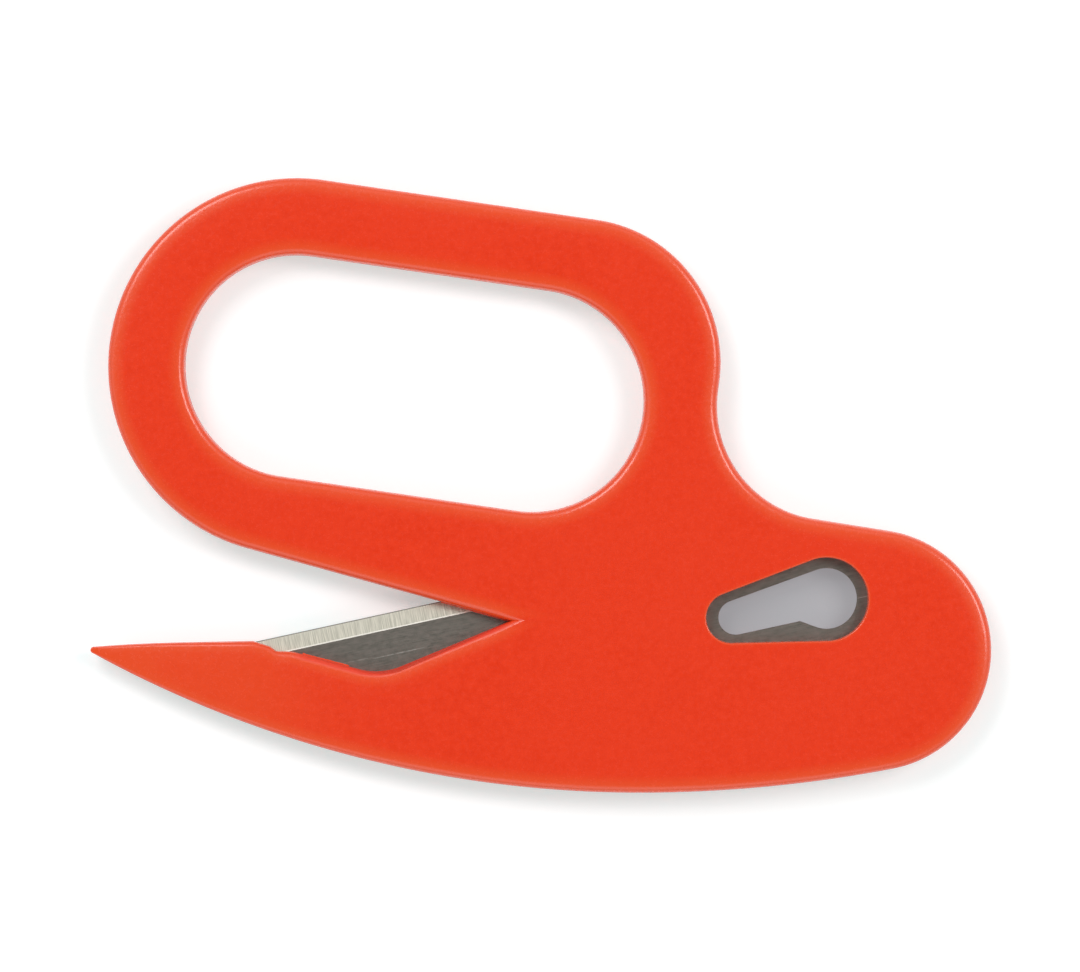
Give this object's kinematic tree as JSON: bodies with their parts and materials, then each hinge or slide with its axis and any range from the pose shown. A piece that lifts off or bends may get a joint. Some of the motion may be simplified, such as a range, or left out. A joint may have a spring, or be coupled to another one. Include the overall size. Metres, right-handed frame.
{
  "type": "safety cutter",
  "caption": "Flat moulded hook cutter with a finger loop, a pointed guard snout, a recessed steel blade in a narrow throat and a keyhole for hanging.",
  "frame": {"origin": "under the centre of the outline, on the broad face that the cutter lies on", "axes": "+X from the snout tip to the rear end, +Y from the belly to the finger loop, +Z through the thickness"},
  "size_m": [0.12, 0.0816, 0.006],
  "materials": {
    "body_plastic": "satin orange-red moulded plastic",
    "blade_steel": "dark rolled carbon steel with a bright ground edge"
  },
  "bodies": {
    "root": {"body": "body_plastic", "blade": "blade_steel"}
  },
  "joints": []
}
